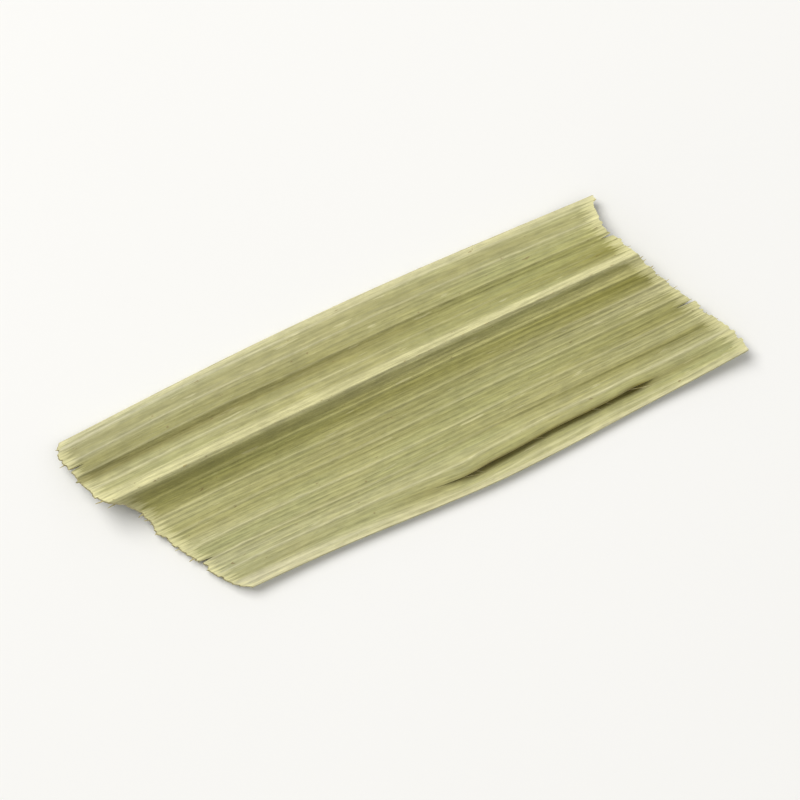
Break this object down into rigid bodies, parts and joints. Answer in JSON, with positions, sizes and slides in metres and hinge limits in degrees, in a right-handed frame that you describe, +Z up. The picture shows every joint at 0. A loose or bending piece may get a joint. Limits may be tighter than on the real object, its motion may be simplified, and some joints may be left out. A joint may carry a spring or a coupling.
{
  "type": "cut piece of dried lemongrass leaf",
  "caption": "Short chopped length of dried lemongrass leaf, keeled along its midrib, with slanted cut ends, lying keel side up.",
  "frame": {"origin": "on the surface the piece lies on, under the middle of its box", "axes": "+X along the midrib from the first cut to the second, +Y from the wide wing to the narrow one, +Z up out of the keeled face"},
  "size_m": [0.0142, 0.0048, 0.001],
  "materials": {
    "dried_leaf": "matte"
  },
  "bodies": {
    "root": {"leaf_piece": "dried_leaf"}
  },
  "joints": []
}
